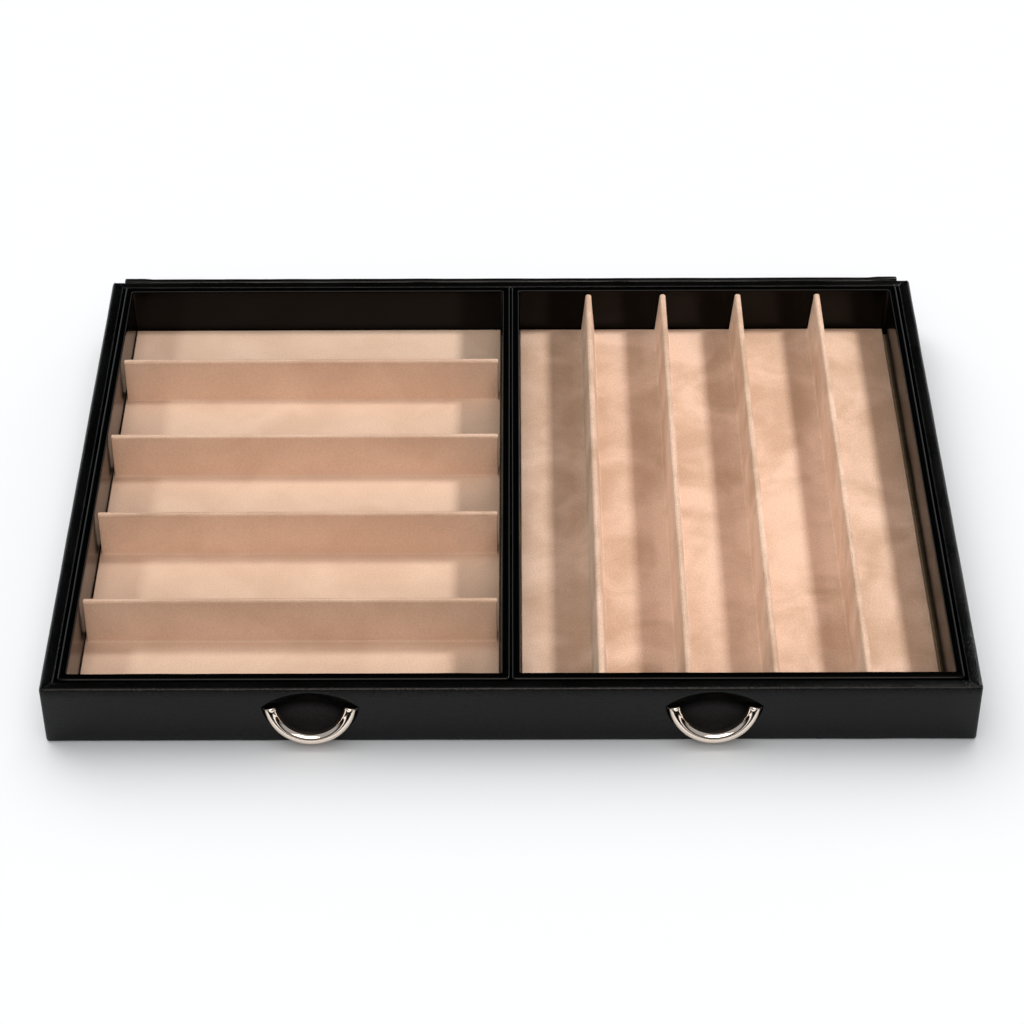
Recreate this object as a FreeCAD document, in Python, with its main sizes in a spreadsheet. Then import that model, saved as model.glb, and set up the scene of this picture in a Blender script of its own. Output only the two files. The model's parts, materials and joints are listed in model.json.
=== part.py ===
import FreeCAD, Part
import math
import os
import re
import Sketcher

# Cufflink box drawer: a leather-covered tray with two leather frames inside, a velour insert
# with upright dividers in each frame, and two half-ring pulls on the front.
#
# Frame: +X across, +Y from the front to the back, +Z up. The origin is the centre of the
# underside. All lengths are millimetres.

sizes = {
    # outer shell
    "drawer_width": 330.0,
    "drawer_depth": 241.0,
    "shell_height": 25.8,
    "leather": 0.5,
    "side_board": 3.9,
    "end_board": 3.2,
    "base_board": 3.0,
    "turn_in": 12.0,
    "edge_round": 1.0,
    # card strip on the back
    "panel_inset": 4.9,
    "panel_card": 1.7,
    "panel_foot": 1.0,
    # inner frames
    "frame_rise": 0.6,
    "frame_card": 2.3,
    "frame_round": 0.9,
    "frame_side_gap": 0.9,
    "frame_end_gap": 0.2,
    "frame_middle_gap": 0.3,
    # velour inserts
    "insert_card": 2.4,
    "velour": 0.8,
    "insert_side_gap": 0.8,
    "insert_end_gap": 0.3,
    "left_insert_shift": -0.3,
    "right_insert_shift": -0.5,
    # dividers: a tent of velour over a card
    "divider_height": 18.4,
    "divider_top": 2.4,
    "divider_foot": 5.4,
    "divider_round": 1.1,
    "divider_card": 1.0,
    "divider_end_inset": 0.6,
    "cross_one": 39.1,
    "cross_two": 87.1,
    "cross_three": 133.1,
    "cross_four": 180.6,
    "fin_one": 28.2,
    "fin_two": 58.8,
    "fin_three": 89.7,
    "fin_four": 122.3,
    # half-ring pulls
    "pull_spread": 142.0,
    "pull_shift": 0.5,
    "pivot_height": 15.1,
    "pivot_inset": 1.05,
    "ring_radius": 14.2,
    "ring_drop": 11.2,
    "ring_thick": 4.4,
    "ring_wide": 4.8,
    "ring_round": 1.8,
    "ring_forward": 0.75,
    "ring_gap": 0.05,
    "knuckle_radius": 1.4,
    "pin_radius": 0.5,
    "pin_clearance": 0.05,
    "pin_in_ring": 2.8,
    "pin_end_gap": 0.2,
    "pin_out": 3.2,
    # recess behind each pull
    "recess_gap": 0.4,
    "recess_depth": 2.7,
    "recess_lining": 0.4,
    "recess_crown": 8.4,
    "recess_shoulder": 1.9,
    "recess_sill": 10.4,
}

# Values worked out from the driving sizes.
derived = {
    "side_wall": "side_board + 2 * leather",
    "end_wall": "end_board + 2 * leather",
    "side_turn_in": "turn_in * side_wall / end_wall",
    "base_top": "leather + base_board",
    "board_height": "shell_height - leather - base_top",
    "frame_wall": "frame_card + 2 * leather",
    "frame_height": "shell_height + frame_rise - base_top",
    "frame_width": "(drawer_width - frame_middle_gap) / 2 - side_wall - frame_side_gap",
    "frame_depth": "drawer_depth - 2 * end_wall - 2 * frame_end_gap",
    "frame_centre": "(frame_width + frame_middle_gap) / 2",
    "well_width": "frame_width - 2 * frame_wall",
    "well_depth": "frame_depth - 2 * frame_wall",
    "insert_width": "well_width - 2 * insert_side_gap",
    "insert_depth": "well_depth - 2 * insert_end_gap",
    "insert_top": "base_top + insert_card + velour",
    "left_insert_centre": "left_insert_shift - frame_centre",
    "right_insert_centre": "right_insert_shift + frame_centre",
    "cross_length": "insert_width - 2 * divider_end_inset",
    "fin_length": "insert_depth - 2 * divider_end_inset",
    "ring_outer": "ring_radius + ring_thick / 2",
    "ring_centre": "pivot_height + ring_radius - ring_drop",
    "ring_above": "ring_radius - ring_drop",
    "pivot_reach": "sqrt(ring_radius^2 - ring_above^2)",
    "ring_end_inner": "pivot_reach - ring_thick / 2",
    "ring_end_outer": "pivot_reach + ring_thick / 2",
    "ring_tilt": "asin((pivot_inset - ring_forward + ring_wide / 2 + ring_gap) / recess_sill)",
    "pin_reach": "ring_end_outer + pin_out",
    "recess_radius": "ring_outer + recess_gap",
}


def formula(text):
    """Writes a rule in the sheet's own terms, with derived values put in full."""
    def swap(match):
        word = match.group(0)
        if word in derived:
            return "(" + formula(derived[word]) + ")"
        if word in sizes:
            return "sizes." + word
        return word
    return re.sub(r"[a-z_]+", swap, str(text))


def bind(thing, rules):
    """Ties each property of an object to its rule."""
    for name, rule in rules.items():
        thing.setExpression(name, formula(rule))


def place(thing, x=0, y=0, z=0):
    bind(thing, {"Placement.Base.x": x, "Placement.Base.y": y, "Placement.Base.z": z})


def turn(thing, axis, rule):
    """Turns an object about an axis through its own origin."""
    thing.Placement.Rotation = FreeCAD.Rotation(FreeCAD.Vector(*axis), 1)
    thing.setExpression("Placement.Rotation.Angle", formula(rule))


def newBody(name):
    body = doc.addObject("PartDesign::Body", name)
    body.Label = name
    nodes.append(body)
    return body


def block(body, kind, size, corner):
    """Adds to a body, or cuts from it, a box with its low corner at a place."""
    shape = body.newObject("PartDesign::" + kind + "Box", "block")
    bind(shape, {"Length": size[0], "Width": size[1], "Height": size[2]})
    place(shape, *corner)
    return shape


def box(name, size, corner):
    """A plain board, card or sheet."""
    shape = doc.addObject("Part::Box", name)
    shape.Label = name
    bind(shape, {"Length": size[0], "Width": size[1], "Height": size[2]})
    place(shape, *corner)
    nodes.append(shape)
    return shape


def roundEdges(body, feature, radius, wanted):
    """Rounds the edges of a feature whose midpoints answer a test."""
    doc.recompute()
    names = []
    for index, edge in enumerate(feature.Shape.Edges):
        middle = edge.valueAt((edge.FirstParameter + edge.LastParameter) / 2)
        if wanted(middle, edge):
            names.append("Edge" + str(index + 1))
    fillet = body.newObject("PartDesign::Fillet", "rounding")
    fillet.Base = (feature, names)
    fillet.setExpression("Radius", formula(radius))
    return fillet


def value(rule):
    """The present value of a rule, for choosing edges and starting sketches."""
    return float(sheet.evalExpression(formula(rule)))


def newSketch(body, name, role):
    sketch = body.newObject("Sketcher::SketchObject", name)
    plane = [item for item in body.Origin.OriginFeatures if item.Role == role][0]
    sketch.AttachmentSupport = (plane, "")
    sketch.MapMode = "FlatFace"
    return sketch


def pin(sketch, kind, geometry, point, rule):
    """Holds one coordinate of a sketch point at a rule's value."""
    held = Sketcher.Constraint(kind, -1, 1, geometry, point, value(rule))
    index = sketch.addConstraint(held)
    sketch.setExpression("Constraints[" + str(index) + "]", formula(rule))


def polygon(sketch, corners):
    """A closed outline of straight lines through corners given as pairs of rules."""
    first = len(sketch.Geometry)
    points = [FreeCAD.Vector(value(across), value(up), 0) for across, up in corners]
    count = len(points)
    for index in range(count):
        sketch.addGeometry(Part.LineSegment(points[index], points[(index + 1) % count]), False)
    for index in range(count):
        following = first + (index + 1) % count
        sketch.addConstraint(Sketcher.Constraint("Coincident", first + index, 2, following, 1))
    for index, (across, up) in enumerate(corners):
        pin(sketch, "DistanceX", first + index, 1, across)
        pin(sketch, "DistanceY", first + index, 1, up)


doc = FreeCAD.newDocument("cufflink_drawer")
sheet = doc.addObject("Spreadsheet::Sheet", "sizes")
for row, (alias, number) in enumerate(sizes.items(), 1):
    sheet.set("A" + str(row), str(number))
    sheet.setAlias("A" + str(row), alias)
doc.recompute()
nodes = []


# ---------------------------------------------------------------- base and walls

def makeBase():
    box("base_lining",
        ("drawer_width - 2 * side_turn_in", "drawer_depth - 2 * turn_in", "leather"),
        ("side_turn_in - drawer_width / 2", "turn_in - drawer_depth / 2", 0))
    box("base_board",
        ("drawer_width - 2 * leather", "drawer_depth - 2 * leather", "base_board"),
        ("leather - drawer_width / 2", "leather - drawer_depth / 2", "leather"))


def makeSideBoards():
    """Side boards run the full depth and hold the end boards between them."""
    boards = []
    for name, x in (("left_board", "leather - drawer_width / 2"),
                    ("right_board", "drawer_width / 2 - leather - side_board")):
        boards.append(box(name, ("side_board", "drawer_depth - 2 * leather", "board_height"),
                          (x, "leather - drawer_depth / 2", "base_top")))
    return boards


def makeBackBoard():
    box("back_board",
        ("drawer_width - 2 * (leather + side_board)", "end_board", "board_height"),
        ("leather + side_board - drawer_width / 2",
         "drawer_depth / 2 - leather - end_board", "base_top"))


# ---------------------------------------------------------------- recesses and pulls

pulls = {"left": "pull_shift - pull_spread / 2", "right": "pull_shift + pull_spread / 2"}


def recessOutline(body, side, grown):
    """The recess seen from the front: a round bay cut level at its sill, under a low arch.

    grown is how far the outline lies outside the finished recess."""
    centre = pulls[side]
    radius = "(recess_radius + " + grown + ")"
    crown = "(pivot_height + recess_crown + " + grown + ")"
    shoulder = "(pivot_height + recess_shoulder)"
    sill = "(pivot_height - recess_sill - " + grown + ")"
    rise = "(" + crown + " - " + shoulder + ")"
    reach = "sqrt(" + radius + "^2 - (ring_centre - " + shoulder + ")^2)"
    foot = "sqrt(" + radius + "^2 - (ring_centre - " + sill + ")^2)"
    archRadius = "(" + reach + "^2 + " + rise + "^2) / (2 * " + rise + ")"
    sketch = newSketch(body, side + "_outline", "XZ_Plane")
    x = value(centre)
    bay = FreeCAD.Vector(x, value("ring_centre"), 0)
    arch = FreeCAD.Vector(x, value(crown) - value(archRadius), 0)
    up = FreeCAD.Vector(0, 0, 1)

    def angle(middle, across, height):
        return math.atan2(height - middle.y, across)

    sillEnd = angle(bay, value(foot), value(sill))
    shoulderEnd = angle(bay, value(reach), value(shoulder))
    archEnd = angle(arch, value(reach), value(shoulder))
    bayCircle = Part.Circle(bay, up, value(radius))
    archCircle = Part.Circle(arch, up, value(archRadius))
    right = sketch.addGeometry(Part.ArcOfCircle(bayCircle, sillEnd, shoulderEnd), False)
    top = sketch.addGeometry(Part.ArcOfCircle(archCircle, archEnd, math.pi - archEnd), False)
    left = sketch.addGeometry(
        Part.ArcOfCircle(bayCircle, math.pi - shoulderEnd, math.pi - sillEnd), False)
    bottom = sketch.addGeometry(
        Part.LineSegment(FreeCAD.Vector(x - value(foot), value(sill), 0),
                         FreeCAD.Vector(x + value(foot), value(sill), 0)), False)
    loop = ((right, 2, top, 1), (top, 2, left, 1), (left, 2, bottom, 1), (bottom, 2, right, 1))
    for link in loop:
        sketch.addConstraint(Sketcher.Constraint("Coincident", *link))
    sketch.addConstraint(Sketcher.Constraint("Coincident", right, 3, left, 3))
    pin(sketch, "DistanceX", right, 3, centre)
    pin(sketch, "DistanceY", right, 3, "ring_centre")
    for arc, size in ((right, radius), (left, radius), (top, archRadius)):
        index = sketch.addConstraint(Sketcher.Constraint("Radius", arc, value(size)))
        sketch.setExpression("Constraints[" + str(index) + "]", formula(size))
    pin(sketch, "DistanceY", right, 2, shoulder)
    pin(sketch, "DistanceY", left, 1, shoulder)
    pin(sketch, "DistanceY", bottom, 1, sill)
    pin(sketch, "DistanceY", bottom, 2, sill)
    return sketch


def cutRecess(body, side, depth):
    """Cuts the lined recess through or into whatever the body has behind the front face."""
    pocket = body.newObject("PartDesign::Pocket", side + "_recess")
    pocket.Profile = recessOutline(body, side, "recess_lining")
    pocket.setExpression("Length", formula(depth))
    return pocket


def boreForPins(body, side):
    """Bores both pin holes beside a recess with one long cutter."""
    bore = body.newObject("PartDesign::SubtractiveCylinder", side + "_bore")
    bind(bore, {"Radius": "pin_radius", "Height": "2 * pin_reach"})
    turn(bore, (0, 1, 0), "90")
    place(bore, pulls[side] + " - pin_reach", "pivot_inset", "pivot_height")


def makeFrontBoard():
    body = newBody("front_board")
    place(body, 0, "-drawer_depth / 2", 0)
    block(body, "Additive",
          ("drawer_width - 2 * (leather + side_board)", "end_board", "board_height"),
          ("leather + side_board - drawer_width / 2", "leather", "base_top"))
    for side in pulls:
        cutRecess(body, side, "recess_depth + recess_lining")
        boreForPins(body, side)


def makeRecessLining(side):
    """A thin leather dish pressed into the recess, bored for the pins."""
    body = newBody(side + "_recess_lining")
    place(body, 0, "-drawer_depth / 2", 0)
    dish = body.newObject("PartDesign::Pad", "dish")
    dish.Profile = recessOutline(body, side, "recess_lining")
    dish.setExpression("Length", formula("recess_depth + recess_lining"))
    dish.Reversed = True
    hollow = body.newObject("PartDesign::Pocket", "hollow")
    hollow.Profile = recessOutline(body, side, "0")
    hollow.setExpression("Length", formula("recess_depth"))
    boreForPins(body, side)


def makePull(side):
    """A cast half ring, modelled about its pivot line and leaning out until its back
    rests on the sill of the recess."""
    body = newBody(side + "_pull_ring")
    turn(body, (-1, 0, 0), "ring_tilt")
    place(body, pulls[side], "pivot_inset - drawer_depth / 2", "pivot_height")
    section = newSketch(body, "section", "YZ_Plane")
    inner = "ring_thick / 2 - ring_drop"
    outer = "-ring_thick / 2 - ring_drop"
    front = "-ring_forward - ring_wide / 2"
    back = "-ring_forward + ring_wide / 2"
    polygon(section, ((front, outer), (back, outer), (back, inner), (front, inner)))
    centre = FreeCAD.Vector(0, value("ring_above"), 0)
    axis = section.addGeometry(Part.LineSegment(centre, centre + FreeCAD.Vector(1, 0, 0)), True)
    section.addConstraint(Sketcher.Constraint("Horizontal", axis))
    pin(section, "DistanceX", axis, 1, "0")
    pin(section, "DistanceX", axis, 2, "1")
    pin(section, "DistanceY", axis, 1, "ring_above")
    ring = body.newObject("PartDesign::Revolution", "half_ring")
    ring.Profile = section
    ring.ReferenceAxis = (section, ["Axis0"])
    ring.Midplane = True
    ring.setExpression("Angle", formula("2 * acos(ring_above / ring_radius)"))
    roundEdges(body, ring, "ring_round", lambda middle, edge: len(edge.Vertexes) == 2
               and edge.Curve.TypeId == "Part::GeomCircle")
    for start in ("ring_end_inner", "-ring_end_outer"):
        knuckle = body.newObject("PartDesign::AdditiveCylinder", "knuckle")
        bind(knuckle, {"Radius": "knuckle_radius", "Height": "ring_thick"})
        turn(knuckle, (0, 1, 0), "90")
        place(knuckle, start)
    depth = "pin_in_ring + pin_end_gap"
    for start in ("ring_end_outer - (" + depth + ")", "-ring_end_outer"):
        bore = body.newObject("PartDesign::SubtractiveCylinder", "pin_bore")
        bind(bore, {"Radius": "pin_radius + pin_clearance", "Height": depth})
        turn(bore, (0, 1, 0), "90")
        place(bore, start)


def makePins(side):
    """The two short pins of a pull, held in the front board and free in the ring."""
    pins = []
    for index, start in enumerate(("ring_end_outer - pin_in_ring", "-pin_reach")):
        rod = doc.addObject("Part::Cylinder", side + "_pin_" + str(index))
        bind(rod, {"Radius": "pin_radius", "Height": "pin_in_ring + pin_out"})
        turn(rod, (0, 1, 0), "90")
        place(rod, pulls[side] + " + " + start, "pivot_inset - drawer_depth / 2", "pivot_height")
        pins.append(rod)
    group = doc.addObject("Part::Compound", side + "_pull_pins")
    group.Label = side + "_pull_pins"
    group.Links = pins
    nodes.append(group)


# ---------------------------------------------------------------- leather of the shell

def makeShellLeather(name, length, wall, turned, mitred):
    """Leather over one wall: up the outside, over the top, down the inside and turned
    in under the base, with both ends mitred.

    Modelled with the wall's outer face on the XZ plane and the inside towards +Y. The
    mitre takes off a length of mitred over a width of turned."""
    body = newBody(name)
    sketch = newSketch(body, "profile", "YZ_Plane")
    under = "shell_height - leather"
    inside = wall + " - leather"
    polygon(sketch, (("0", "0"), (turned, "0"), (turned, "leather"), ("leather", "leather"),
                     ("leather", under), (inside, under), (inside, "base_top"),
                     (wall, "base_top"), (wall, "shell_height"), ("0", "shell_height")))
    strip = body.newObject("PartDesign::Pad", "strip")
    strip.Profile = sketch
    strip.Midplane = True
    strip.setExpression("Length", formula(length))
    roundEdges(body, strip, "edge_round", lambda middle, edge: abs(middle.y) < 1e-6
               and abs(middle.z - value("shell_height")) < 1e-6)
    mitre = newSketch(body, "mitre", "XY_Plane")
    for sign in ("", "-"):
        outer = sign + length + " / 2"
        inner = sign + "(" + length + " / 2 - " + mitred + ")"
        polygon(mitre, ((outer, "0"), (outer, turned), (inner, turned)))
    trim = body.newObject("PartDesign::Pocket", "mitres")
    trim.Profile = mitre
    trim.Reversed = True
    trim.setExpression("Length", formula("shell_height"))
    return body


def makeEndLeather(name):
    """Leather over an end wall, cleared where the side boards run on behind it."""
    body = makeShellLeather(name, "drawer_width", "end_wall", "turn_in", "side_turn_in")
    for x in ("-drawer_width / 2", "drawer_width / 2 - leather - side_board"):
        block(body, "Subtractive", ("leather + side_board", "end_board + leather", "board_height"),
              (x, "leather", "base_top"))
    return body


def makeShell():
    front = makeEndLeather("front_leather")
    for side in pulls:
        cutRecess(front, side, "leather")
    place(front, 0, "-drawer_depth / 2")
    back = makeEndLeather("back_leather")
    turn(back, (0, 0, 1), "180")
    place(back, 0, "drawer_depth / 2")
    for name, way in (("left", -1), ("right", 1)):
        leather = makeShellLeather(name + "_leather", "drawer_depth", "side_wall",
                                   "side_turn_in", "turn_in")
        turn(leather, (0, 0, way), "90")
        place(leather, str(way) + " * drawer_width / 2")


def makeBackPanel():
    """A card strip wrapped in leather and glued to the back."""
    card = ("drawer_width - 2 * (panel_inset + leather)", "panel_card",
            "shell_height - panel_foot - leather")
    corner = ("panel_inset + leather - drawer_width / 2", "drawer_depth / 2", "panel_foot")
    box("back_panel_card", card, corner)
    body = newBody("back_panel_leather")
    block(body, "Additive",
          ("drawer_width - 2 * panel_inset", "panel_card + leather", "shell_height - panel_foot"),
          ("panel_inset - drawer_width / 2", "drawer_depth / 2", "panel_foot"))
    block(body, "Subtractive", card, corner)


# ---------------------------------------------------------------- inner frames

def makeFrame(side, centre):
    """Four cards on edge, standing on the base board under one strip of leather."""
    low = "(" + centre + " - frame_width / 2)"
    front = "(leather - frame_depth / 2)"
    height = "frame_height - leather"
    across = "frame_width - 2 * leather"
    for name, y in (("front", front), ("back", "frame_depth / 2 - leather - frame_card")):
        box(side + "_frame_" + name + "_card", (across, "frame_card", height),
            (low + " + leather", y, "base_top"))
    between = "frame_depth - 2 * (leather + frame_card)"
    for name, x in (("left", "leather"), ("right", "frame_width - leather - frame_card")):
        box(side + "_frame_" + name + "_card", ("frame_card", between, height),
            (low + " + " + x, front + " + frame_card", "base_top"))
    body = newBody(side + "_frame_leather")
    place(body, centre, 0, "base_top")
    block(body, "Additive", ("frame_width", "frame_depth", "frame_height"),
          ("-frame_width / 2", "-frame_depth / 2", 0))
    block(body, "Subtractive", (across, "frame_depth - 2 * leather", height),
          ("leather - frame_width / 2", "leather - frame_depth / 2", 0))
    block(body, "Additive",
          ("well_width + 2 * leather", "well_depth + 2 * leather", "frame_height"),
          ("-well_width / 2 - leather", "-well_depth / 2 - leather", 0))
    hollow = block(body, "Subtractive", ("well_width", "well_depth", "frame_height"),
                   ("-well_width / 2", "-well_depth / 2", 0))
    top = value("frame_height")
    roundEdges(body, hollow, "frame_round", lambda middle, edge: abs(middle.z - top) < 1e-6)


# ---------------------------------------------------------------- velour inserts

def makeInsertFloor(side, centre):
    corner = centre + " - insert_width / 2"
    box(side + "_insert_card", ("insert_width", "insert_depth", "insert_card"),
        (corner, "-insert_depth / 2", "base_top"))
    box(side + "_insert_velour", ("insert_width", "insert_depth", "velour"),
        (corner, "-insert_depth / 2", "base_top + insert_card"))


def makeDivider(name, length, x, y, lengthways):
    """A card on edge under a tent of velour that widens towards its foot."""
    cardTop = "divider_height - velour"
    card = doc.addObject("Part::Box", name + "_card")
    card.Label = name + "_card"
    body = newBody(name + "_velour")
    sketch = newSketch(body, "tent", "YZ_Plane")
    polygon(sketch, (("-divider_foot / 2", "0"), ("-divider_card / 2", "0"),
                     ("-divider_card / 2", cardTop), ("divider_card / 2", cardTop),
                     ("divider_card / 2", "0"), ("divider_foot / 2", "0"),
                     ("divider_top / 2", "divider_height"), ("-divider_top / 2", "divider_height")))
    tent = body.newObject("PartDesign::Pad", "tent_pad")
    tent.Profile = sketch
    tent.Midplane = True
    tent.setExpression("Length", formula(length))
    ridge = value("divider_height")
    roundEdges(body, tent, "divider_round", lambda middle, edge: abs(middle.z - ridge) < 1e-6
               and abs(middle.x) < 1e-6)
    place(body, x, y, "insert_top")
    if lengthways:
        turn(body, (0, 0, 1), "90")
        bind(card, {"Length": "divider_card", "Width": length, "Height": cardTop})
        place(card, x + " - divider_card / 2", y + " - (" + length + ") / 2", "insert_top")
    else:
        bind(card, {"Length": length, "Width": "divider_card", "Height": cardTop})
        place(card, x + " - (" + length + ") / 2", y + " - divider_card / 2", "insert_top")
    nodes.append(card)


def makeInserts():
    makeInsertFloor("left", "left_insert_centre")
    for index, distance in enumerate(("cross_one", "cross_two", "cross_three", "cross_four"), 1):
        makeDivider("cross_divider_" + str(index), "cross_length", "left_insert_centre",
                    distance + " - insert_depth / 2", False)
    makeInsertFloor("right", "right_insert_centre")
    for index, distance in enumerate(("fin_one", "fin_two", "fin_three", "fin_four"), 1):
        makeDivider("fin_divider_" + str(index), "fin_length",
                    "right_insert_centre - insert_width / 2 + " + distance, "0", True)


# ---------------------------------------------------------------- the whole drawer

makeBase()
makeSideBoards()
makeBackBoard()
makeFrontBoard()
for pullSide in pulls:
    makeRecessLining(pullSide)
    makePull(pullSide)
    makePins(pullSide)
makeShell()
makeBackPanel()
makeFrame("left", "-frame_centre")
makeFrame("right", "frame_centre")
makeInserts()
doc.recompute()

for thing in doc.Objects:
    if "Invalid" in thing.State or "Error" in thing.State:
        raise RuntimeError(thing.Name + " failed: " + str(thing.State))
for node in nodes:
    if node.Shape.isNull() or not node.Shape.isValid():
        raise RuntimeError(node.Label + " has no valid shape")

os.makedirs("parts", exist_ok=True)
for node in nodes:
    node.Shape.exportStep("parts/" + node.Label + ".step")
    print(node.Label, round(node.Shape.Volume, 2))
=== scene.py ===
import bmesh
import bpy
import json
import math
from mathutils import Matrix, Vector


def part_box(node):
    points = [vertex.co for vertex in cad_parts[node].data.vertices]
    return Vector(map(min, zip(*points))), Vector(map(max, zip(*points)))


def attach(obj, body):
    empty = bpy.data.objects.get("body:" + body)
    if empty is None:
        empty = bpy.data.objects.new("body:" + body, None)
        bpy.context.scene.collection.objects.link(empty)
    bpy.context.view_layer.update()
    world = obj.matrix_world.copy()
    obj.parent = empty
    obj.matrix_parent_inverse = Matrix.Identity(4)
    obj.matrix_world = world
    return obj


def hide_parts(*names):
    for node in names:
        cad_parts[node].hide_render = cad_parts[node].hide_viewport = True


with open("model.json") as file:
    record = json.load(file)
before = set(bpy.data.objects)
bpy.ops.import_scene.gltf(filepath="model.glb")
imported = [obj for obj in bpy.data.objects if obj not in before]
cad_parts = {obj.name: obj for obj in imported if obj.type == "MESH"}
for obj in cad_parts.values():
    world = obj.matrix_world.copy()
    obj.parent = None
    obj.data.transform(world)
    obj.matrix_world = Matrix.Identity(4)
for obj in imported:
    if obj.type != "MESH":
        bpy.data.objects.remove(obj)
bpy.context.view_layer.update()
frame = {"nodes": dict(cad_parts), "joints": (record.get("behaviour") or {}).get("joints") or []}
joints = {joint["name"]: joint for joint in frame["joints"]}
print("frame loaded")


# ---- helpers for modelling by operator ----

# two places closer than the first length count as one, and the cutting tools weld at the second
samePlace = 2e-5
weld = 1e-6
drumSides = 128
# how far up a normal points on a level face at least, and on an upright one at most
levelNormal = 0.9
uprightNormal = 0.1


def clearAll():
    if bpy.context.mode != "OBJECT":
        bpy.ops.object.mode_set(mode="OBJECT")
    bpy.ops.object.select_all(action="DESELECT")


def activate(piece):
    clearAll()
    piece.select_set(True)
    bpy.context.view_layer.objects.active = piece


def addBlock(name, low, high):
    # a cube stretched between two corners
    clearAll()
    size = [b - a for a, b in zip(low, high)]
    middle = [(a + b) / 2 for a, b in zip(low, high)]
    bpy.ops.mesh.primitive_cube_add(size=1, location=middle, scale=size)
    piece = bpy.context.active_object
    piece.name = name
    bpy.ops.object.transform_apply(location=True, rotation=True, scale=True)
    return piece


def addDrum(name, middle, radius, low, high):
    # a cylinder lying along Y between two depths
    clearAll()
    bpy.ops.mesh.primitive_cylinder_add(
        vertices=drumSides, radius=radius, depth=high - low, rotation=(math.pi / 2, 0, 0),
        location=(middle[0], (low + high) / 2, middle[1]))
    piece = bpy.context.active_object
    piece.name = name
    bpy.ops.object.transform_apply(location=True, rotation=True, scale=True)
    return piece


def copyOf(piece, name):
    twin = piece.copy()
    twin.data = piece.data.copy()
    twin.name = name
    bpy.context.collection.objects.link(twin)
    return twin


def pick(piece, kind, wanted):
    # goes into edit mode with only the wanted parts selected
    activate(piece)
    bpy.ops.object.mode_set(mode="EDIT")
    bpy.ops.mesh.select_mode(type=kind)
    bpy.ops.mesh.select_all(action="DESELECT")
    mesh = bmesh.from_edit_mesh(piece.data)
    items = {"VERT": mesh.verts, "EDGE": mesh.edges, "FACE": mesh.faces}[kind]
    for item in items:
        if wanted(item):
            item.select_set(True)
    bmesh.update_edit_mesh(piece.data)


def near(a, b):
    return abs(a - b) < samePlace


def atHeight(edge, height):
    return all(near(vert.co.z, height) for vert in edge.verts)


def runsUp(edge):
    first, second = (vert.co for vert in edge.verts)
    return near(first.x, second.x) and near(first.y, second.y)


def facesUp(face):
    return face.normal.z > levelNormal


def facesDown(face):
    return face.normal.z < -levelNormal


def isUpright(face):
    return abs(face.normal.z) < uprightNormal


def onRim(edge, height):
    # an edge at a height, between a level face and an upright one
    return atHeight(edge, height) and any(isUpright(face) for face in edge.link_faces)


def roundOff(piece, wanted, radius, segments):
    # every rounding below is written as its radius and its number of steps
    pick(piece, "EDGE", wanted)
    bpy.ops.mesh.bevel(offset=radius, segments=segments, clamp_overlap=False)
    bpy.ops.object.mode_set(mode="OBJECT")


def trim(piece, point, normal, fill=True):
    # cuts off what lies on the side that the normal points to
    pick(piece, "FACE", lambda face: True)
    bpy.ops.mesh.bisect(plane_co=point, plane_no=Vector(normal).normalized(), use_fill=fill,
                        clear_outer=True, threshold=weld)
    bpy.ops.object.mode_set(mode="OBJECT")


def cutAcross(piece, axis, places):
    # cuts the surface across at each place along an axis, and keeps both sides
    pick(piece, "FACE", lambda face: True)
    normal = [0, 0, 0]
    normal[axis] = 1
    for place in places:
        point = [0, 0, 0]
        point[axis] = place
        bpy.ops.mesh.select_all(action="SELECT")
        bpy.ops.mesh.bisect(plane_co=point, plane_no=normal, threshold=weld)
    bpy.ops.object.mode_set(mode="OBJECT")


def crossCut(piece, axis, low, high, step):
    # cuts at even spacing, which give a surface room to wave
    count = int(round((high - low) / step))
    cutAcross(piece, axis, [low + (high - low) * index / count for index in range(1, count)])


def applyModifier(piece, kind, **settings):
    activate(piece)
    modifier = piece.modifiers.new(kind.lower(), kind)
    for key, setting in settings.items():
        setattr(modifier, key, setting)
    bpy.ops.object.modifier_apply(modifier=modifier.name)


def combine(piece, tool, how):
    # how is DIFFERENCE or INTERSECT, and the tool is used up
    applyModifier(piece, "BOOLEAN", object=tool, operation=how, solver="EXACT")
    bpy.data.objects.remove(tool)


def wave(piece, size, strength):
    # a slow unevenness, as hand-laid leather and cloth have
    texture = bpy.data.textures.new(piece.name + "Wave", "CLOUDS")
    texture.noise_scale = size
    texture.noise_depth = 1
    applyModifier(piece, "DISPLACE", texture=texture, texture_coords="LOCAL",
                  strength=strength, mid_level=0.5)


def tidy(piece):
    # welds what lies together and turns every face outward
    pick(piece, "FACE", lambda face: True)
    bpy.ops.mesh.remove_doubles(threshold=weld)
    bpy.ops.mesh.normals_make_consistent(inside=False)
    bpy.ops.object.mode_set(mode="OBJECT")


def finish(piece, body, material, nodes, angle):
    # folds flatter than the angle, in degrees, are shaded smooth
    activate(piece)
    bpy.ops.object.shade_smooth_by_angle(angle=math.radians(angle))
    piece.data.materials.clear()
    piece.data.materials.append(material)
    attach(piece, body)
    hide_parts(*nodes)


# ---- helpers for materials ----

def newMaterial(name):
    material = bpy.data.materials.new(name)
    material.use_nodes = True
    tree = material.node_tree
    tree.nodes.clear()
    output = tree.nodes.new("ShaderNodeOutputMaterial")
    shader = tree.nodes.new("ShaderNodeBsdfPrincipled")
    tree.links.new(shader.outputs["BSDF"], output.inputs["Surface"])
    return material, tree, shader


def setSockets(node, values):
    for key, number in values.items():
        node.inputs[key].default_value = number


def addNode(tree, kind, values=None, **settings):
    node = tree.nodes.new(kind)
    for key, setting in settings.items():
        setattr(node, key, setting)
    setSockets(node, values or {})
    return node


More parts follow.
